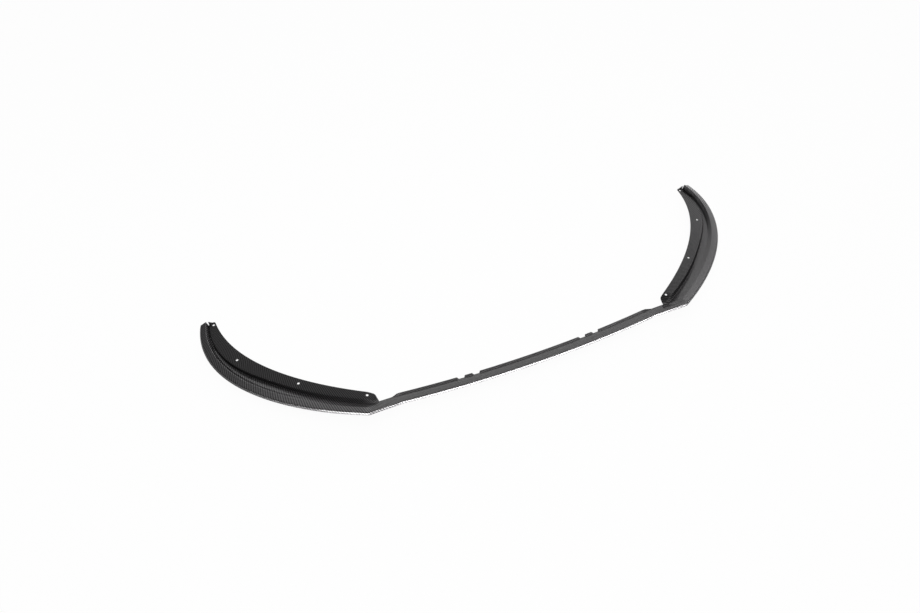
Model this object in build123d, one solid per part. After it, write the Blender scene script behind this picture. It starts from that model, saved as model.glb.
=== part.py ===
from build123d import *
import os
from math import asin, cos, degrees, radians, sin, tan

# Front splitter lip of a car, laid up in one piece from carbon-fibre cloth.
# X runs across the car, Y from the front to the rear and Z up. X = 0 is the mirror plane,
# the two mounting flanges are level, and the lip lies on the plane Z = 0.
# Lengths are in millimetres and angles in degrees.

# Laminate, and the share of a side that one bend may take up
wall = 2.5
flange_height = 28.5
bend_room = 0.45

# Plan of a wing's outer edge, from the front corner to the tip
corner_half_width = 496.0
corner_y = -245.0
corner_sweep = 27.0
corner_ease = 204.0
tip_half_width = 865.5
tip_y = 244.0
tip_lean = 12.5
tip_ease = 226.0

# Plan of a flange's inner edge, from the front corner to the tip
corner_mitre = 51.5
corner_depth = 81.0
inner_sweep = 29.5
inner_ease = 269.0
tip_mitre = 17.5
tip_depth = 41.5
inner_tip_flare = 5.0
inner_tip_ease = 156.0

# Skirt under the outer edge
skirt_height = 7.0
skirt_lean = 4.0

# Section at the corner's mitre: one slope from the edge down to the foot of the flange
mitre_edge_rise = 27.0
mitre_reach = 61.0
mitre_drop = 10.0
slope_crown = 0.6

# Sizes that change along a wing, at the end of the corner's facet, each quarter and the tip
stations = (0.03, 0.25, 0.5, 0.75, 1.0)
rim_width = (21.0, 21.0, 20.0, 18.0, 17.0)
rim_crown = (0.5, 0.5, 1.0, 2.0, 2.5)
valley_width = (32.0, 30.0, 29.0, 14.0, 4.0)
riser_run = (7.0, 7.0, 7.0, 6.0, 2.0)
valley_drop = (15.0, 14.5, 13.0, 9.0, 4.0)
edge_rise = (25.5, 15.0, 9.0, 7.0, 13.0)

# Inside radii of the rounder bends. The valley's floor is a sharp crease, and the other bends
# are sharp inside and one wall round outside.
flange_bend = 3.0
rim_bend = 6.0

# Strip between the corners
strip_half_width = 400.0
strip_front_y = -250.5
strip_bow = 20.5
strip_run = 42.0
strip_edge_rise = 6.0
hem_width = 8.0
recess_hem = 1.5
ramp_start = 10.0
ramp_end = 28.0

# Screw holes of a wing: share along the flange's inner edge, and distance in from it
hole_diameter = 7.5
hole_places = ((0.064, 9.5), (0.388, 14.5), (0.718, 23.5), (0.98, 7.5))

# Ends of a flange, and notches of the hem
foot_lean = 12.0
flange_corner_radius = 9.0
tip_corner_radius = 6.0
end_tab_rise = 12.0
notch_group_reach = 195.0
notch_pitch = 45.5
notch_floor = 16.0
notch_flare = 4.0
notch_depth = 7.0


def heading(angle):
    return Vector(cos(radians(angle)), sin(radians(angle)))


def eased_curve(start, start_angle, start_ease, end, end_angle, end_ease):
    # Plan curve that leaves and arrives at set headings.
    return Bezier(start, start + heading(start_angle) * start_ease, end - heading(end_angle) * end_ease, end)


def mix(a, b, share):
    return a + (b - a) * share


def bend_radii(inside, folds_down):
    # Radii above and below the wall; a crease has no inside radius and is sharp on both faces.
    if inside is None:
        return 0, 0
    outside = inside + wall
    return (outside, inside) if folds_down else (inside, outside)


def laminate(line, bends):
    # Outline of a wall under a section line, with its corner radii. The line runs from the inner
    # edge out to the foot of the skirt, and its bends are concentric.
    steps = [(b - a).normalized() for a, b in zip(line, line[1:])]
    down = [Vector(-s.Y, s.X) for s in steps]
    under = [line[0] + down[0] * wall]
    top_radii = []
    under_radii = []
    for point, a, b, bend in zip(line[1:], down, down[1:], bends):
        under.append(point + (a + b) * (wall / (1 + a.dot(b))))
        top, below = bend_radii(bend, a.cross(b).Z > 0)
        top_radii.append(top)
        under_radii.append(below)
    under.append(line[-1] + down[-1] * wall)
    return line + under[::-1], [0, *top_radii, 0, 0, *under_radii[::-1], 0]


def fitted_radius(before, point, after, wanted):
    # The wanted radius, or as much of it as the shorter side leaves room for.
    a = before - point
    b = after - point
    half_turn = radians(180 - a.get_angle(b)) / 2
    return min(wanted, bend_room * min(a.length, b.length) / tan(half_turn))


def section(origin, inward, line, bends):
    # Face across the lip, upright through origin; line holds (distance inward, height) pairs.
    outline, wanted = laminate([Vector(*pair) for pair in line], bends)
    after = outline[1:] + outline[:1]
    radii = [fitted_radius(outline[i - 1], p, after[i], wanted[i]) for i, p in enumerate(outline)]
    points = [origin + inward * p.X + Vector(0, 0, p.Y) for p in outline]
    return Face(FilletPolyline(*points, radius=radii, close=True))


corner = Vector(corner_half_width, corner_y)
corner_inward = heading(180 - corner_mitre)
inner_corner = corner + corner_inward * corner_depth
tip = Vector(tip_half_width, tip_y)
inner_tip = tip + heading(180 - tip_mitre) * tip_depth
outer_edge = eased_curve(corner, corner_sweep, corner_ease, tip, 90 + tip_lean, tip_ease)
inner_edge = eased_curve(
    inner_corner, inner_sweep, inner_ease, inner_tip, 90 - inner_tip_flare, inner_tip_ease
)


def plan_frame(share):
    # Outer edge point, direction inward and distance to the flange's inner edge.
    outer = outer_edge @ share
    across = (inner_edge @ share) - outer
    return outer, across.normalized(), across.length


def blade_line(reach, floor_height, edge_height, width, crown):
    # Slope, rim and skirt, from the valley's floor outwards.
    return [
        (reach, floor_height),
        (width, edge_height + crown),
        (0, edge_height),
        (-skirt_lean, edge_height - skirt_height),
    ]


def sloped_blade(reach, floor_height, edge_height):
    # The same with its rim all but straight on the slope.
    width = rim_width[0]
    fall = (edge_height - floor_height) * width / reach
    return blade_line(reach, floor_height, edge_height, width, slope_crown - fall)


def floor_reach(station):
    return rim_width[station] + valley_width[station]


def bend_reach(station):
    return floor_reach(station) + riser_run[station]


def across_wing(share, blade, bend):
    # Whole section of a wing, from the flange's inner edge out to the skirt; bend is the flange's reach.
    outer, inward, depth = plan_frame(share)
    inner = [(depth, flange_height), (bend, flange_height)]
    return section(outer, inward, inner + blade, (flange_bend, None, rim_bend, 0))


def mitre_section():
    edge_height = flange_height + mitre_edge_rise
    blade = sloped_blade(mitre_reach, flange_height - mitre_drop, edge_height)
    return across_wing(0, blade, mitre_reach + riser_run[0])


def wing_section(station):
    floor_height = flange_height - valley_drop[station]
    edge_height = flange_height + edge_rise[station]
    rim = (rim_width[station], rim_crown[station])
    blade = blade_line(floor_reach(station), floor_height, edge_height, *rim)
    return across_wing(stations[station], blade, bend_reach(station))


def seam_point(share, bend):
    # Plan point on the flat of the flange, just clear of its bend.
    outer, inward, depth = plan_frame(share)
    return outer + inward * (bend + flange_bend + wall)


def flange_plan():
    # Plan of the level flange, from the seam to its inner edge.
    seam = Spline(*[seam_point(stations[i], bend_reach(i)) for i in range(len(stations))])
    front = Line(seam_point(0, mitre_reach + riser_run[0]), seam @ 0)
    ends = [Line(inner_edge @ 0, front @ 0), Line(inner_edge @ 1, seam @ 1)]
    return make_face([front, seam, inner_edge, *ends])


def screw_holes():
    holes = []
    for share, inset in hole_places:
        outward = (inner_edge % share).cross(Vector(0, 0, 1))
        place = (inner_edge @ share) + outward * inset
        holes.append(Pos(place.X, place.Y, flange_height) * Cylinder(hole_diameter / 2, 4 * wall))
    return holes


corner_floor = corner + corner_inward * mitre_reach


def front_trim():
    # Block that cuts the front end of the flange along a slanted line from the strip's back edge.
    block = Box(corner_depth, 2 * corner_depth, 2 * flange_height, align=(Align.MAX, Align.MIN, Align.MIN))
    return Pos(corner_floor) * Rot(0, 0, -foot_lean) * block


def trim_corner():
    # Plan point where the slanted end meets the flange's inner edge.
    start = inner_edge @ 0
    ahead = inner_edge % 0
    slant = heading(90 - foot_lean)
    return start + ahead * ((corner_floor - start).cross(slant).Z / ahead.cross(slant).Z)


def rounded_end(body, place, radius):
    # Rounds the flange corner nearest to a plan point.
    target = Vector(place.X, place.Y, flange_height - wall / 2)
    upright = sorted(body.edges(), key=lambda edge: (edge.center() - target).length)[0]
    return fillet(upright, radius)


def flange():
    # Level plate, rounded where its inner edge meets its ends.
    plate = Pos(0, 0, flange_height - wall) * extrude(flange_plan(), wall) - front_trim()
    plate = rounded_end(plate, trim_corner(), flange_corner_radius)
    return rounded_end(plate, inner_edge @ 1, tip_corner_radius)


def end_tab():
    # Upturned end of the flange, rising from its inner corner; the valley's notch parts it from the rim.
    outer, inward, depth = plan_frame(1)
    outline = [
        (depth - tip_corner_radius, flange_height - wall / 2),
        (bend_reach(-1), flange_height + end_tab_rise),
        (bend_reach(-1), flange_height - wall),
    ]
    points = [outer + inward * reach + Vector(0, 0, height) for reach, height in outline]
    return extrude(make_face(Polyline(*points, close=True)), wall, dir=-(outer_edge % 1))


def wing():
    # Corner facet and lofted blade, with the flat flange in place of their inner part.
    sections = [wing_section(station) for station in range(len(stations))]
    blade = loft([mitre_section(), sections[0]], ruled=True) + loft(sections)
    blade = blade - extrude(flange_plan(), 2 * flange_height) - front_trim()
    return blade + flange() + end_tab() - screw_holes()


strip_radius = (strip_half_width**2 + strip_bow**2) / (2 * strip_bow)
strip_centre = Vector(0, strip_front_y + strip_radius)
strip_half_angle = degrees(asin(strip_half_width / strip_radius))
strip_end = Vector(strip_half_width, strip_front_y + strip_bow)
strip_inward = (strip_centre - strip_end).normalized()


def strip_section(share, hem):
    # Section of the strip, turning from its end at share 0 into the front corner's mitre at share 1.
    front = mix(strip_end, corner, share)
    across = mix(strip_end + strip_inward * strip_run, corner_floor, share) - front
    hem_height = mix(wall, flange_height - mitre_drop, share)
    edge_height = flange_height + mix(strip_edge_rise, mitre_edge_rise, share)
    hem_line = [(across.length + hem, hem_height)]
    blade = sloped_blade(across.length, hem_height, edge_height)
    return section(front, across.normalized(), hem_line + blade, (0, rim_bend, 0))


def strip():
    # The section swept about a far upright axis, so that the strip bows forward in the middle.
    body = revolve(strip_section(0, hem_width), Axis(strip_centre, (0, 0, 1)), -2 * strip_half_angle)
    for side in (-1, 1):
        for place in (-notch_pitch / 2, notch_pitch / 2):
            body = body - notch(side * notch_group_reach + place)
    return body


def notch(x):
    # Flared notch in the back edge of the hem.
    back_radius = strip_radius - strip_run - hem_width
    outline = Polyline(
        (-notch_floor / 2 - 2 * notch_flare, notch_depth),
        (-notch_floor / 2, -notch_depth),
        (notch_floor / 2, -notch_depth),
        (notch_floor / 2 + 2 * notch_flare, notch_depth),
        close=True,
    )
    cutter = extrude(make_face(outline), 2 * wall, both=True)
    turn = degrees(asin(x / back_radius))
    return Pos(strip_centre) * Rot(0, 0, turn) * Pos(0, -back_radius, 0) * cutter


def corner_web():
    # Twisted stretch from the end of the strip to the mitre, where a ramp takes the hem into a recess.
    length = corner_half_width - strip_half_width
    hems = ((0, hem_width), (ramp_start, hem_width), (ramp_end, recess_hem), (length, recess_hem))
    return loft([strip_section(place / length, hem) for place, hem in hems], ruled=True)


def splitter_lip():
    right = wing() + corner_web()
    return strip() + right + mirror(right, about=Plane.YZ)


os.makedirs("parts", exist_ok=True)
export_step(splitter_lip(), "parts/splitter_lip.step")
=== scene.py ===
from math import cos, pi, radians, sin

import bmesh
import bpy
import numpy as np
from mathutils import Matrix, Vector


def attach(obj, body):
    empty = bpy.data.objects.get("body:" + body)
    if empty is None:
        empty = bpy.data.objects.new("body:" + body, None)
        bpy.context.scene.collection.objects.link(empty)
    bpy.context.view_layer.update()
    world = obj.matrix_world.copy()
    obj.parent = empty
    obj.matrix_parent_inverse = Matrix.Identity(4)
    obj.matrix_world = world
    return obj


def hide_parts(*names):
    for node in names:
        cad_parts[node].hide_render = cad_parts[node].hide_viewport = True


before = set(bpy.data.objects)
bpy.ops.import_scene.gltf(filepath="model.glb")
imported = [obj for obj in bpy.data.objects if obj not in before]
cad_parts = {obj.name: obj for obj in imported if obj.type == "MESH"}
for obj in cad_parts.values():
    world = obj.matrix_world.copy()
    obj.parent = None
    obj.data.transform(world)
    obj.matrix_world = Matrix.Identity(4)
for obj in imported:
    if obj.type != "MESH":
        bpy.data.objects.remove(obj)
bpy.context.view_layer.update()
scene = bpy.context.scene

mm = 0.001  # sizes below are in millimetres, meshes in metres
tiny = 1e-12  # keeps a vector of no length from being divided by zero


def hexColour(code):
    # sRGB hex to linear RGBA: each channel is c / 12.92 or ((c + 0.055) / 1.055) ^ 2.4
    channels = [int(code[i:i + 2], 16) / 255 for i in (1, 3, 5)]
    linear = [c / 12.92 if c <= 0.04045 else ((c + 0.055) / 1.055) ** 2.4 for c in channels]
    return (*linear, 1.0)


def addNode(tree, kind, inputs=None, **settings):
    # one node with its settings; an input is a value, or an output socket to link from
    node = tree.nodes.new(kind)
    for name, value in settings.items():
        setattr(node, name, value)
    for name, value in (inputs or {}).items():
        if isinstance(value, bpy.types.NodeSocket):
            tree.links.new(value, node.inputs[name])
        else:
            node.inputs[name].default_value = value
    return node


# Plan and section of the lip. The plan has the solid's sizes. The section's depths and bends follow
# the photograph's reflections, which show them more closely.
lip = dict(
    wall=2.5, flangeHeight=28.5, freeEdgeRound=0.4,
    bendRoom=0.45,  # the most of a straight run that one bend may take up
    # outer edge of a wing, from the front corner to the tip
    cornerX=496.0, cornerY=-245.0, cornerSweep=27.0, cornerEase=204.0,
    tipX=865.5, tipY=244.0, tipLean=12.5, tipEase=226.0,
    # inner edge of its flange
    cornerMitre=51.5, cornerDepth=81.0, innerSweep=29.5, innerEase=269.0,
    tipMitre=17.5, tipDepth=41.5, innerFlare=5.0, innerTipEase=156.0,
    skirtHeight=7.0, skirtLean=4.0,
    # the mitre's straight slope, which turns into the first full section over a short facet
    mitreReach=61.0, mitreDrop=10.0, straightRise=0.6, facetEnd=0.03,
    # along a wing: at the corner, each quarter and the tip
    rimWidth=(21.0, 21.0, 20.0, 18.0, 17.0),
    rimCrown=(-7.5, -6.0, -1.5, 1.5, 2.5),
    wallShare=(0.5, 0.45, 0.33, 0.5, 0.8),
    wallSink=(0.0, 0.0, 2.5, 6.0, 1.0),
    valleyWidth=(30.5, 29.5, 30.5, 16.0, 4.0),
    riserRun=(8.5, 7.5, 5.5, 4.0, 2.0),
    valleyDrop=(7.5, 8.5, 9.5, 8.0, 4.0),
    edgeRise=(27.0, 15.0, 9.0, 7.0, 13.0),
    # top radii of the bends, from the flange out to the skirt
    flangeBend=2.5,
    floorBend=(1.5, 1.5, 1.5, 1.5, 1.0),
    wallBend=(8.0, 8.0, 8.0, 4.0, 1.5),
    rimBend=(8.5, 8.5, 7.0, 1.8, 1.0),
    edgeBend=3.2,
    # strip between the corners, with the ramp where its hem narrows
    stripHalf=400.0, stripY=-250.5, stripBow=20.5, stripRun=42.0, stripEdgeRise=6.0,
    hemWidth=8.0, recessHem=1.5, rampStart=17.0, rampEnd=40.0,
    # ends of the flanges: round corners, a dip over the first share of the length, an upturned tab
    footLean=10.0, footRound=2.5, footDip=10.0, footDipEnd=0.075,
    tipRound=7.4, endTabRise=12.0, endTabInset=6.0,
    # how finely the surfaces are cut: rows along, then columns over the flange and the hem, over
    # each bend and over each straight run outwards
    wingRows=170, stripRows=84, webRows=48,
    flangeColumns=16, flangePacking=1.6, hemColumns=5, flangeArc=6, riserColumns=4,
    bladeArcs=(8, 6, 8, 6), bladeRuns=(5, 5, 5, 3),
    # samples of a curve, and the shares of a wing's length over which ends and headings are read
    curveSteps=800, footProbe=0.12, footProbes=300, tipProbe=0.01, headingProbe=0.001,
    # least turn of an arc in radians, gap closed between grids, steps of a softened edge, and the
    # angles in degrees from which edges are softened and shade as sharp
    straightTurn=0.01, mergeGap=0.02, edgeSteps=2, edgeFrom=60.0, sharpFrom=35.0,
)


def heading(angle):
    # plan direction at an angle in degrees from +X towards +Y: (cos, sin)
    return np.array([cos(radians(angle)), sin(radians(angle))])


def unit(v):
    # vectors divided by their own lengths
    return v / np.maximum(np.linalg.norm(v, axis=-1, keepdims=True), tiny)


def curveAt(start, startAngle, startEase, end, endAngle, endEase, share):
    # cubic curve s^3 a + 3 s^2 t b + 3 s t^2 c + t^3 d, with s = 1 - t, which leaves and arrives at
    # set headings, read at shares of its length
    near, far = start + heading(startAngle) * startEase, end - heading(endAngle) * endEase
    t = np.linspace(0, 1, lip["curveSteps"] + 1)[:, None]
    s = 1 - t
    line = s ** 3 * start + 3 * s ** 2 * t * near + 3 * s * t ** 2 * far + t ** 3 * end
    run = np.concatenate([[0], np.cumsum(np.linalg.norm(np.diff(line, axis=0), axis=1))])
    place = np.asarray(share) * run[-1]
    return np.stack([np.interp(place, run, line[:, axis]) for axis in (0, 1)], axis=-1)


def alongWing(values, share):
    # cubic Hermite curve through evenly spaced values, with central differences as its slopes
    values = np.array(values)
    slopes = np.gradient(values)
    place = np.asarray(share) * (len(values) - 1)
    i = np.clip(place.astype(int), 0, len(values) - 2)
    f = place - i
    rise = (values[i + 1] - values[i]) * f * f * (3 - 2 * f)
    return values[i] + rise + slopes[i] * f * (1 - f) ** 2 - slopes[i + 1] * f * f * (1 - f)


def roundedLine(knots, radii, arcSteps, runSteps):
    # Section lines with tangent arcs at the inner knots, from the first arc on; knots is
    # (K, rows, 2). An arc turns (a - c) towards (b - c) by the sines of the parts of its angle.
    # Where the line runs straight through a knot, its points lie evenly from a to b.
    columns = []
    last = None
    for i, radius in enumerate(radii, 1):
        back, ahead = knots[i - 1] - knots[i], knots[i + 1] - knots[i]
        room = np.minimum(np.linalg.norm(back, axis=-1), np.linalg.norm(ahead, axis=-1))
        back, ahead = unit(back), unit(ahead)
        turn = pi - np.arccos(np.clip((back * ahead).sum(-1), -1, 1))
        straight = turn < lip["straightTurn"]
        turn = np.maximum(turn, lip["straightTurn"])
        reach = np.minimum(radius * np.tan(turn / 2), lip["bendRoom"] * room)
        a, b = knots[i] + back * reach[:, None], knots[i] + ahead * reach[:, None]
        centre = knots[i] + unit(back + ahead) * (reach / np.sin(turn / 2))[:, None]
        if last is not None:
            for share in np.linspace(0, 1, runSteps[i - 2] + 1)[1:-1]:
                columns.append(last + (a - last) * share)
        for share in np.linspace(0, 1, arcSteps[i - 1] + 1):
            wa = np.sin((1 - share) * turn) / np.sin(turn)
            wb = np.sin(share * turn) / np.sin(turn)
            arc = centre + (a - centre) * wa[:, None] + (b - centre) * wb[:, None]
            columns.append(np.where(straight[:, None], a + (b - a) * share, arc))
        last = b
    for share in np.linspace(0, 1, runSteps[-1] + 1)[1:]:
        columns.append(last + (knots[-1] - last) * share)
    return np.stack(columns, axis=1)


def bladeKnots(across, floorHeight, rimWidth, edgeHeight, crown, wallShare, wallSink, bent):
    # Floor, foot of the rim's wall, rim, edge and foot of the skirt, as (distance inward, height).
    # The rim stands crown above the edge where bent is 1, and lies on a straight slope from floor
    # to edge where it is 0. The wall's foot lies wallSink below the line from floor to rim.
    zero = np.zeros_like(edgeHeight)
    straight = (floorHeight - edgeHeight) * rimWidth / across + lip["straightRise"]
    rimHeight = edgeHeight + straight + (crown - straight) * bent
    wallHeight = rimHeight + (floorHeight - rimHeight) * wallShare - wallSink * bent
    return [
        (across, floorHeight),
        (rimWidth + (across - rimWidth) * wallShare, wallHeight),
        (zero + rimWidth, rimHeight),
        (zero, edgeHeight),
        (zero - lip["skirtLean"], edgeHeight - lip["skirtHeight"]),
    ]


corner = np.array([lip["cornerX"], lip["cornerY"]])
cornerInward = heading(180 - lip["cornerMitre"])
# here the flange's front end leaves the strip
cornerFloor = corner + cornerInward * lip["mitreReach"]
innerCorner = corner + cornerInward * lip["cornerDepth"]
tip = np.array([lip["tipX"], lip["tipY"]])
innerTip = tip + heading(180 - lip["tipMitre"]) * lip["tipDepth"]
footAcross = heading(-lip["footLean"])  # across the front end, towards the tip

# columns over the flange, closer together at its free edge
flangeShares = np.linspace(0, 1, lip["flangeColumns"] + 1)[:-1] ** lip["flangePacking"]


def outerEdge(share):
    # cubic curve from the front corner to the tip
    return curveAt(corner, lip["cornerSweep"], lip["cornerEase"],
                   tip, 90 + lip["tipLean"], lip["tipEase"], share)


def innerEdge(share):
    # cubic curve along the flange's free edge
    return curveAt(innerCorner, lip["innerSweep"], lip["innerEase"],
                   innerTip, 90 - lip["innerFlare"], lip["innerTipEase"], share)


def wingSections(share):
    # Points across the wing at each share of its length: flange, bend, riser, slope, rim and skirt.
    def along(name):
        return alongWing(lip[name], share)

    outer, inner = outerEdge(share), innerEdge(share)
    depth = np.linalg.norm(inner - outer, axis=-1)
    bent = np.clip(share / lip["facetEnd"], 0, 1)
    rimWidth = along("rimWidth")
    floorReach = rimWidth + along("valleyWidth")
    floorReach = lip["mitreReach"] + (floorReach - lip["mitreReach"]) * bent
    flangeReach = floorReach + along("riserRun")
    drop = lip["mitreDrop"] + (along("valleyDrop") - lip["mitreDrop"]) * bent
    # the flange dips at its front end by a smooth step, d^2 (3 - 2 d)
    dip = np.clip(1 - share / lip["footDipEnd"], 0, 1)
    level = lip["flangeHeight"] - lip["footDip"] * dip * dip * (3 - 2 * dip)
    knots = [(depth, level), (flangeReach, level)]
    knots += bladeKnots(floorReach, lip["flangeHeight"] - drop,
                        rimWidth, lip["flangeHeight"] + along("edgeRise"),
                        along("rimCrown"), along("wallShare"), along("wallSink"), bent)
    knots = np.array([np.stack(k, -1) for k in knots])
    # at the mitre the floor's arc leaves the slope where the strip's own arc does
    slope, riser = knots[3] - knots[2], knots[1] - knots[2]
    slopeTurn = np.arctan2(slope[:, 1], -slope[:, 0])
    floorTurn = slopeTurn + np.arctan2(riser[:, 1], riser[:, 0])
    eased = bent + (1 - bent) * np.tan(slopeTurn / 2) / np.tan(floorTurn / 2)
    radii = (lip["flangeBend"], along("floorBend") * eased, along("wallBend"), along("rimBend"),
             lip["edgeBend"])
    line = roundedLine(knots, radii, (lip["flangeArc"], *lip["bladeArcs"]),
                       (lip["riserColumns"], *lip["bladeRuns"]))
    edge = knots[0][:, None]
    flange = edge + (line[:, :1] - edge) * flangeShares[None, :, None]
    line = np.concatenate([flange, line], axis=1)
    inward = unit(inner - outer)
    plan = outer[:, None] + inward[:, None] * line[..., :1]
    return np.concatenate([plan, line[..., 1:]], axis=-1), line


def roundBack(distance, size):
    # setback of a rounded corner at a distance from the edge: a quarter circle
    rest = np.clip(1 - distance / size, 0, 1)
    return size * (1 - np.sqrt(1 - rest ** 2))


def uvOf(points, lines):
    # cloth coordinates in metres: length along the edge row by row, length across column by column
    along = np.linalg.norm(np.diff(points[:, -1], axis=0), axis=-1)
    along = np.concatenate([[0], np.cumsum(along)])[:, None] + np.zeros(points.shape[1])
    across = np.linalg.norm(np.diff(lines[:, ::-1], axis=1), axis=-1)
    across = np.concatenate([np.zeros((len(lines), 1)), np.cumsum(across, axis=1)], axis=1)
    return np.stack([along, across[:, ::-1]], axis=-1) * mm


def wingGrid():
    # Rows run from the mitre to the tip. Each column starts where it clears the squared front end,
    # and near the free edge it starts later and stops sooner, which rounds the flange's corners.
    probe = np.linspace(0, lip["footProbe"], lip["footProbes"])
    plan, line = wingSections(probe)
    insetFoot = line[0, 0, 0] - line[0, :, 0]
    past = (plan[..., :2] - cornerFloor) @ footAcross - roundBack(insetFoot, lip["footRound"])
    first = np.array([np.interp(0, past[:, j], probe) for j in range(past.shape[1])])
    ends, line = wingSections(np.array([1 - lip["tipProbe"], 1.0]))
    length = np.linalg.norm(ends[1, :, :2] - ends[0, :, :2], axis=-1) / lip["tipProbe"]
    insetTip = line[1, 0, 0] - line[1, :, 0]
    final = 1 - roundBack(insetTip, lip["tipRound"]) / length
    share = first + (final - first) * np.linspace(0, 1, lip["wingRows"])[:, None]
    rows, columns = share.shape
    sections, lines = wingSections(share.ravel())
    own = np.arange(columns)
    points = sections.reshape(rows, columns, columns, 3)[:, own, own]
    lines = lines.reshape(rows, columns, columns, 2)[:, own, own]
    return points, uvOf(points, lines)


stripRadius = (lip["stripHalf"] ** 2 + lip["stripBow"] ** 2) / (2 * lip["stripBow"])
stripCentre = np.array([0, lip["stripY"] + stripRadius])


def stripGrid():
    # Right half of the strip and its corner web. The section turns about a far upright axis, then
    # mixes point by point into the section of the front corner's mitre.
    angle = np.linspace(0, np.arcsin(lip["stripHalf"] / stripRadius), lip["stripRows"])
    outward = np.stack([np.sin(angle), -np.cos(angle)], -1)
    front = stripCentre + outward * stripRadius
    floor = stripCentre + outward * (stripRadius - lip["stripRun"])
    share = np.linspace(0, 1, lip["webRows"] + 1)[1:]
    front = np.concatenate([front, front[-1] + (corner - front[-1]) * share[:, None]])
    floor = np.concatenate([floor, floor[-1] + (cornerFloor - floor[-1]) * share[:, None]])
    share = np.concatenate([np.zeros(len(angle)), share])
    length = lip["cornerX"] - lip["stripHalf"]
    hem = np.interp(share * length, [lip["rampStart"], lip["rampEnd"]],
                    [lip["hemWidth"], lip["recessHem"]])

    def toCorner(a, b):
        return a + (b - a) * share

    across = np.linalg.norm(floor - front, axis=-1)
    hemHeight = toCorner(lip["wall"], lip["flangeHeight"] - lip["mitreDrop"])
    edgeHeight = lip["flangeHeight"] + toCorner(lip["stripEdgeRise"], lip["edgeRise"][0])
    knots = [(across + hem, hemHeight)]
    knots += bladeKnots(across, hemHeight, lip["rimWidth"][0], edgeHeight,
                        crown=0, wallShare=lip["wallShare"][0], wallSink=0, bent=0)
    knots = np.array([np.stack(k, -1) for k in knots])
    radii = (lip["floorBend"][0], lip["wallBend"][0], lip["rimBend"][0], lip["edgeBend"])
    line = roundedLine(knots, radii, lip["bladeArcs"], lip["bladeRuns"])
    hemShares = np.linspace(0, 1, lip["hemColumns"] + 1)[None, :-1, None]
    edge = knots[0][:, None]
    line = np.concatenate([edge + (line[:, :1] - edge) * hemShares, line], axis=1)
    plan = front[:, None] + unit(floor - front)[:, None] * line[..., :1]
    points = np.concatenate([plan, line[..., 1:]], axis=-1)
    return points, uvOf(points, line)


def gridFaces(rows, columns, offset):
    # quads between neighbouring rows and columns
    index = np.arange(rows * columns).reshape(rows, columns) + offset
    quads = [index[:-1, :-1], index[:-1, 1:], index[1:, 1:], index[1:, :-1]]
    return np.stack(quads, -1).reshape(-1, 4)


flangeShadeShift = 1.0  # faces of the flanges lie this far up the cloth map, where painted shade darkens their colour


def clothSheet():
    # Upper face of the moulding: two grids and their mirror images, merged where they meet.
    points, uvs, faces, shadedFlangeFaces = [], [], [], []
    count = 0
    for (grid, uv), flangeColumns in ((stripGrid(), 0), (wingGrid(), len(flangeShares))):
        rows, columns = grid.shape[:2]
        quads = gridFaces(rows, columns, count)
        for side in (1, -1):
            points.append(grid.reshape(-1, 3) * (side * mm, mm, mm))
            uvs.append(uv.reshape(-1, 2) * (side, 1))
            faces.append(quads if side > 0 else quads[:, ::-1] + rows * columns)
            shadedFlangeFaces.append(np.tile(np.arange(columns - 1) < flangeColumns, rows - 1))
        count += 2 * rows * columns
    points, uvs, faces = np.concatenate(points), np.concatenate(uvs), np.concatenate(faces)
    # flange faces move up the cloth map, where the material paints shade on them
    uvs = uvs[faces] + np.concatenate(shadedFlangeFaces)[:, None, None] * np.array([0, flangeShadeShift])
    mesh = bpy.data.meshes.new("splitterLip")
    mesh.from_pydata(points, [], faces)
    layer = mesh.uv_layers.new(name="cloth")
    layer.data.foreach_set("uv", uvs.astype(np.float32).ravel())
    edit = bmesh.new()
    edit.from_mesh(mesh)
    bmesh.ops.remove_doubles(edit, verts=edit.verts, dist=lip["mergeGap"] * mm)
    edit.to_mesh(mesh)
    edit.free()
    return mesh


# Openings cut through the moulding. A screw hole's place is its share of the flange's length and
# its distance from the free edge.
cuts = dict(
    holeDiameter=7.5, holeSides=48,
    holePlaces=((0.064, 9.5), (0.388, 14.5), (0.718, 23.5), (0.98, 7.5)),
    notchReach=195.0, notchPitch=45.5, notchFloor=16.0, notchFlare=4.0, notchDepth=7.0,
    low=-10.0, high=70.0,
)


def prism(outline, low, high):
    # upright prism over a plan outline: its points twice, a side quad for each edge and two caps
    n = len(outline)
    points = np.concatenate([np.column_stack([outline, np.full(n, z)]) for z in (low, high)])
    i = np.arange(n)
    sides = np.stack([i, (i + 1) % n, (i + 1) % n + n, i + n], -1).tolist()
    return points, [i[::-1].tolist(), (i + n).tolist(), *sides]


def turned(outline, place, angle):
    # outline turned by an angle, x along its heading and y across it, and moved to its place
    a = heading(angle)
    return place + outline[:, :1] * a + outline[:, 1:] * np.array([-a[1], a[0]])


def cutOutlines():
    # plan outlines of the right half's screw holes and hem notches
    ring = np.linspace(0, 2 * pi, cuts["holeSides"], endpoint=False)
    ring = np.stack([np.cos(ring), np.sin(ring)], -1) * cuts["holeDiameter"] / 2
    for share, inset in cuts["holePlaces"]:
        near, far = innerEdge([share - lip["headingProbe"], share + lip["headingProbe"]])
        ahead = unit(far - near)
        yield ring + innerEdge(share) + np.array([ahead[1], -ahead[0]]) * inset
    # a notch's sides keep their slope past the hem's edge, so that the cutter stands clear of it
    floor, flare, deep = cuts["notchFloor"] / 2, cuts["notchFlare"], cuts["notchDepth"]
    mouth = floor + 2 * flare
    notch = np.array([[-mouth, deep], [-floor, -deep], [floor, -deep], [mouth, deep]])
    back = stripRadius - lip["stripRun"] - lip["hemWidth"]
    for step in (-0.5, 0.5):
        angle = np.arcsin((cuts["notchReach"] + step * cuts["notchPitch"]) / back)
        place = stripCentre + back * np.array([sin(angle), -cos(angle)])
        yield turned(notch, place, np.degrees(angle))


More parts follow.
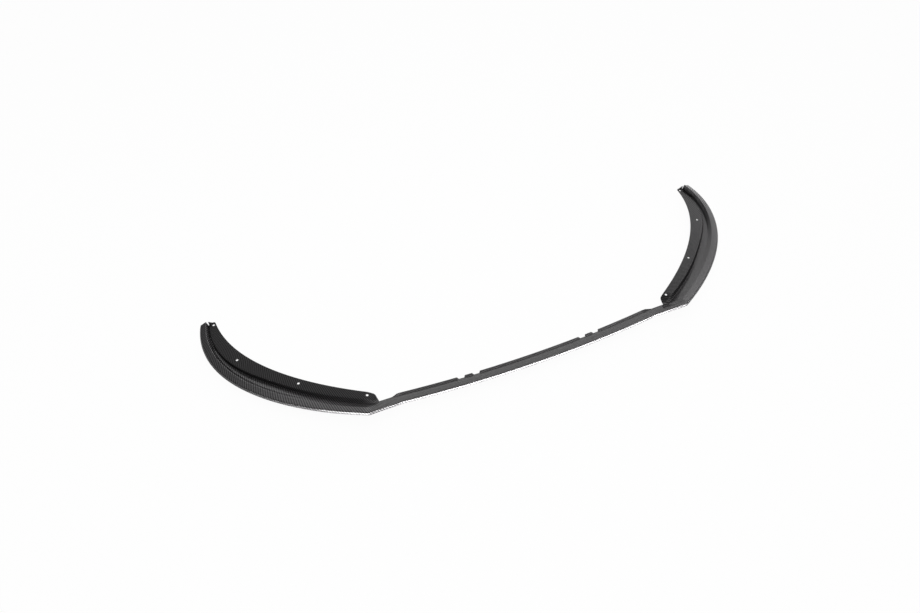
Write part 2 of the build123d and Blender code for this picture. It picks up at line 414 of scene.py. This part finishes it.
def cutter():
    # one object of prisms over all the outlines and their mirror images
    points, faces = [], []
    count = 0
    for outline in cutOutlines():
        for side in (1, -1):
            mirrored = outline if side > 0 else (outline * (-1, 1))[::-1]
            some, quads = prism(mirrored, cuts["low"], cuts["high"])
            points.append(some * mm)
            faces += [[i + count for i in quad] for quad in quads]
            count += len(some)
    mesh = bpy.data.meshes.new("cutter")
    mesh.from_pydata(np.concatenate(points), [], faces)
    edit = bmesh.new()
    edit.from_mesh(mesh)
    bmesh.ops.recalc_face_normals(edit, faces=edit.faces)
    edit.to_mesh(mesh)
    edit.free()
    block = bpy.data.objects.new("cutter", mesh)
    scene.collection.objects.link(block)
    return block


def endTabs():
    # Upturned ends of the flanges: a triangle in (distance inward, height) that rises from the
    # inner corner to the flange's bend, carried one wall forward along the outer edge.
    outer = outerEdge(1.0)
    ahead = unit(outer - outerEdge(1 - lip["headingProbe"]))
    across = innerEdge(1.0) - outer
    depth = np.linalg.norm(across)
    bend = lip["rimWidth"][-1] + lip["valleyWidth"][-1] + lip["riserRun"][-1]
    level = lip["flangeHeight"]
    triangle = np.array([
        (depth - lip["endTabInset"], level - lip["wall"] / 2),
        (bend, level - lip["wall"]),
        (bend, level + lip["endTabRise"]),
    ])
    plan = outer + (across / depth) * triangle[:, :1]
    back = np.column_stack([plan, triangle[:, 1]])
    front = back - np.array([*ahead, 0]) * lip["wall"]
    points = np.concatenate([back, front]) * mm
    faces = [(0, 1, 2), (5, 4, 3), (0, 3, 4, 1), (1, 4, 5, 2), (2, 5, 3, 0)]
    mesh = bpy.data.meshes.new("endTabs")
    mesh.from_pydata(np.concatenate([points, points * (-1, 1, 1)]), [],
                     faces + [tuple(i + len(points) for i in face) for face in faces])
    # the end tabs lie in the flanges' part of the cloth map and get the same painted shade
    flat = np.tile(triangle, (4, 1)) * mm + (0, flangeShadeShift)
    layer = mesh.uv_layers.new(name="cloth")
    corners = np.empty(len(mesh.loops), np.int32)
    mesh.loops.foreach_get("vertex_index", corners)
    layer.data.foreach_set("uv", flat[corners].astype(np.float32).ravel())
    return mesh


def joined(mesh, extra):
    # one mesh of both, with the second one's faces turned outwards and its edges softened
    edit = bmesh.new()
    edit.from_mesh(extra)
    bmesh.ops.recalc_face_normals(edit, faces=edit.faces)
    bmesh.ops.bevel(edit, geom=edit.edges, offset=lip["freeEdgeRound"] * mm,
                    segments=lip["edgeSteps"], affect="EDGES", profile=0.5)
    edit.from_mesh(mesh)
    edit.to_mesh(mesh)
    edit.free()


def splitterLip(material):
    # the sheet gets its wall, softened free edges and its openings, and is then one plain mesh
    piece = bpy.data.objects.new("splitterLip", clothSheet())
    scene.collection.objects.link(piece)
    wall = piece.modifiers.new("wall", "SOLIDIFY")
    wall.thickness, wall.offset, wall.use_even_offset = lip["wall"] * mm, -1, True
    soft = piece.modifiers.new("freeEdges", "BEVEL")
    soft.width, soft.segments = lip["freeEdgeRound"] * mm, lip["edgeSteps"]
    soft.limit_method, soft.angle_limit = "ANGLE", radians(lip["edgeFrom"])
    block = cutter()
    openings = piece.modifiers.new("openings", "BOOLEAN")
    openings.operation, openings.solver, openings.object = "DIFFERENCE", "EXACT", block
    bpy.context.view_layer.update()
    evaluated = piece.evaluated_get(bpy.context.evaluated_depsgraph_get())
    finished = bpy.data.meshes.new_from_object(evaluated)
    piece.modifiers.clear()
    joined(finished, endTabs())
    piece.data = finished
    bpy.data.objects.remove(block)
    finished.name = "splitterLip"
    finished.polygons.foreach_set("use_smooth", np.ones(len(finished.polygons), bool))
    finished.set_sharp_from_angle(angle=radians(lip["sharpFrom"]))
    finished.materials.clear()
    finished.materials.append(material)
    finished.update()
    finished.calc_loop_triangles()
    print("splitterLip:", len(finished.vertices), "vertices,",
          len(finished.loop_triangles), "triangles")
    return piece


# Carbon-fibre twill in epoxy under a clear gloss coat: near-black tows of 3,000 filaments, each
# 2 mm wide, float over two and under two. Fibres mirror like a dark metal. The two directions are
# the same fibre, and the warp is coloured lighter than the weft: painted sheen for how each
# direction catches the light, laid on the real weave so it shows as fine diagonals. The tint keeps
# them dark at low angles, where the flat coat mirrors the room.
twill = dict(
    tow=2.0, towCrown=0.12, repeat=4, floats=2,
    warpSheenColour="#626162", weftColour="#2f2e2f", metallic=1.0, grazingTint="#a0a0a0",
    # the last number is painted shade: the share of its colour that a flange keeps
    warpRoughness=0.4, weftRoughness=0.5, flangeShadeTone=0.5,
    coatWeight=0.4, coatRoughness=0.05, coatIor=1.5,
)


def clearCoatedCarbonTwill():
    material = bpy.data.materials.new("clearCoatedCarbonTwill")
    material.use_nodes = True
    tree = material.node_tree
    tree.nodes.clear()
    cloth = addNode(tree, "ShaderNodeUVMap", uv_map="cloth").outputs[0]
    towsPerMetre = 1 / (twill["tow"] * mm)
    scaled = addNode(tree, "ShaderNodeVectorMath", {0: cloth, 1: (towsPerMetre,) * 3},
                     operation="MULTIPLY").outputs[0]
    cell = addNode(tree, "ShaderNodeVectorMath", {0: scaled}, operation="FLOOR").outputs[0]
    place = addNode(tree, "ShaderNodeVectorMath", {0: scaled}, operation="FRACTION").outputs[0]
    number = addNode(tree, "ShaderNodeSeparateXYZ", {0: cell})
    within = addNode(tree, "ShaderNodeSeparateXYZ", {0: place})
    # warp tow i lies on top of weft tow j where (i + j) mod 4 is 0 or 1
    diagonal = addNode(tree, "ShaderNodeMath", {0: number.outputs[0], 1: number.outputs[1]},
                       operation="ADD").outputs[0]
    step = addNode(tree, "ShaderNodeMath", {0: diagonal, 1: twill["repeat"]},
                   operation="FLOORED_MODULO").outputs[0]
    warpUp = addNode(tree, "ShaderNodeMath", {0: step, 1: twill["floats"] - 0.5},
                     operation="LESS_THAN").outputs[0]
    # height across the tow on top: 1 - (2 x - 1) ^ 2, which is 1 - 4 (x - 0.5) ^ 2
    width = addNode(tree, "ShaderNodeMix", {
        0: warpUp, 2: within.outputs[0], 3: within.outputs[1],
    }).outputs[0]
    centred = addNode(tree, "ShaderNodeMath", {0: width, 1: 0.5}, operation="SUBTRACT").outputs[0]
    square = addNode(tree, "ShaderNodeMath", {0: centred, 1: centred},
                     operation="MULTIPLY").outputs[0]
    height = addNode(tree, "ShaderNodeMath", {0: square, 1: -4.0, 2: 1.0},
                     operation="MULTIPLY_ADD").outputs[0]
    bump = addNode(tree, "ShaderNodeBump", {
        "Height": height, "Strength": 1.0, "Distance": twill["towCrown"] * mm,
    })
    # real twill pattern with painted sheen: the warp tows are coloured lighter than the weft tows
    # of the same fibre
    colour = addNode(tree, "ShaderNodeMix", {
        0: warpUp, 6: hexColour(twill["weftColour"]), 7: hexColour(twill["warpSheenColour"]),
    }, data_type="RGBA")
    # painted shade on the flanges: their colour is multiplied by the flange tone there and by 1
    # elsewhere
    across = addNode(tree, "ShaderNodeSeparateXYZ", {0: cloth})
    isFlange = addNode(tree, "ShaderNodeMath", {0: across.outputs[1], 1: flangeShadeShift / 2},
                       operation="GREATER_THAN").outputs[0]
    tone = addNode(tree, "ShaderNodeMath", {0: isFlange, 1: twill["flangeShadeTone"] - 1, 2: 1.0},
                   operation="MULTIPLY_ADD").outputs[0]
    toned = addNode(tree, "ShaderNodeVectorMath", {0: colour.outputs[2], "Scale": tone},
                    operation="SCALE")
    rough = addNode(tree, "ShaderNodeMix", {
        0: warpUp, 2: twill["weftRoughness"], 3: twill["warpRoughness"],
    })
    shader = addNode(tree, "ShaderNodeBsdfPrincipled", {
        "Base Color": toned.outputs[0], "Roughness": rough.outputs[0], "Normal": bump.outputs[0],
        "Metallic": twill["metallic"], "Specular Tint": hexColour(twill["grazingTint"]),
        "Coat Weight": twill["coatWeight"], "Coat Roughness": twill["coatRoughness"],
        "Coat IOR": twill["coatIor"],
    })
    addNode(tree, "ShaderNodeOutputMaterial", {0: shader.outputs[0]})
    return material


carbon = clearCoatedCarbonTwill()
lipPiece = splitterLip(carbon)
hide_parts("splitter_lip")
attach(lipPiece, "root")

# White studio floor in a dim room. Each soft light wall has its direction, its radiance at the
# middle and how fast it falls off.
studio = dict(
    floorSize=300.0, floorColour="#ececec", lift=0.96, room=0.15,
    walls=(
        ((0.757, 0.592, 0.276), 7.0, 25.0),
        ((0.17, 0.98, 0.05), 1.4, 10.0),
        ((0.37, 0.7, 0.62), 1.05, 15.0),
        ((0.3, -0.5, 0.8), 1.0, 6.0),
        ((-0.17, 0.62, 0.77), 0.25, 8.0),
    ),
)


def paperFloor():
    # Matt white background paper. What the camera and mirrors see of it is lifted towards white,
    # and the rest is its own shading, so the soft shadow stays.
    material = bpy.data.materials.new("mattBackgroundPaper")
    material.use_nodes = True
    tree = material.node_tree
    tree.nodes.clear()
    paper = addNode(tree, "ShaderNodeBsdfDiffuse", {"Color": hexColour(studio["floorColour"])})
    glow = addNode(tree, "ShaderNodeEmission", {"Color": hexColour("#ffffff"), "Strength": 1.0})
    ray = addNode(tree, "ShaderNodeLightPath").outputs
    seen = addNode(tree, "ShaderNodeMath", {0: ray["Is Camera Ray"], 1: ray["Is Glossy Ray"]},
                   operation="MAXIMUM").outputs[0]
    seen = addNode(tree, "ShaderNodeMath", {0: seen, 1: ray["Is Transmission Ray"]},
                   operation="MAXIMUM").outputs[0]
    lift = addNode(tree, "ShaderNodeMath", {0: seen, 1: studio["lift"]},
                   operation="MULTIPLY").outputs[0]
    mix = addNode(tree, "ShaderNodeMixShader", {
        0: lift, 1: paper.outputs[0], 2: glow.outputs[0],
    })
    addNode(tree, "ShaderNodeOutputMaterial", {0: mix.outputs[0]})
    half = studio["floorSize"] / 2
    mesh = bpy.data.meshes.new("paperFloor")
    corners = [(-half, -half, 0), (half, -half, 0), (half, half, 0), (-half, half, 0)]
    mesh.from_pydata(corners, [], [(0, 1, 2, 3)])
    mesh.materials.append(material)
    floor = bpy.data.objects.new("paperFloor", mesh)
    scene.collection.objects.link(floor)


def studioWorld():
    # Dim room with soft light walls: each adds radiance * exp(fall * (cos - 1)), where cos is that
    # of the angle between the wall's direction and the direction looked in.
    world = bpy.data.worlds.new("studioRoom")
    scene.world = world
    world.use_nodes = True
    tree = world.node_tree
    tree.nodes.clear()
    look = addNode(tree, "ShaderNodeTexCoord").outputs["Generated"]
    total = studio["room"]
    for direction, radiance, fall in studio["walls"]:
        towards = unit(np.array(direction))
        cosine = addNode(tree, "ShaderNodeVectorMath", {0: look, 1: towards},
                         operation="DOT_PRODUCT").outputs["Value"]
        power = addNode(tree, "ShaderNodeMath", {0: cosine, 1: fall, 2: -fall},
                        operation="MULTIPLY_ADD").outputs[0]
        glow = addNode(tree, "ShaderNodeMath", {0: power}, operation="EXPONENT").outputs[0]
        total = addNode(tree, "ShaderNodeMath", {0: glow, 1: radiance, 2: total},
                        operation="MULTIPLY_ADD").outputs[0]
    room = addNode(tree, "ShaderNodeBackground", {"Strength": total})
    addNode(tree, "ShaderNodeOutputWorld", {0: room.outputs[0]})


def softLamp(name, place, target, size, radiance, glossy=True, diffuse=True):
    # area lamp of a set brightness: power is radiance times pi times its area
    data = bpy.data.lights.new(name, "AREA")
    data.shape, data.size, data.size_y = "RECTANGLE", *size
    data.energy = radiance * pi * size[0] * size[1]
    lamp = bpy.data.objects.new(name, data)
    scene.collection.objects.link(lamp)
    lamp.location = place
    lamp.rotation_mode = "QUATERNION"
    lamp.rotation_quaternion = (Vector(place) - Vector(target)).to_track_quat("Z", "Y")
    lamp.visible_glossy, lamp.visible_diffuse = glossy, diffuse


# One softbox lights the paper and the cloth, and one card is only mirrored, in the skirt
lamps = dict(
    overheadSoftbox=dict(
        place=(-0.2, -0.2, 2.6), target=(0.0, 0.0, 0.0), size=(2.4, 2.4), radiance=2.0,
        glossy=False,
    ),
    frontCard=dict(
        place=(-0.4, -2.6, 0.3), target=(-0.4, -0.25, 0.04), size=(7.4, 0.8), radiance=36.0,
        diffuse=False,
    ),
)

paperFloor()
studioWorld()
for lampName, settings in lamps.items():
    softLamp(lampName, **settings)

# Camera at the photograph's place, found from the object's own symmetry
view = dict(place=(-0.6265, -1.1678, 1.4822), tilt=41.74, turn=-22.66, lens=24.965, sensor=36.0)
cameraData = bpy.data.cameras.new("photoCamera")
cameraData.lens, cameraData.sensor_width = view["lens"], view["sensor"]
camera = bpy.data.objects.new("photoCamera", cameraData)
camera.location = view["place"]
camera.rotation_euler = (radians(view["tilt"]), 0, radians(view["turn"]))
scene.collection.objects.link(camera)
scene.camera = camera
scene.view_settings.view_transform = "Standard"
print("stage, lamps and camera placed")

bpy.context.view_layer.update()
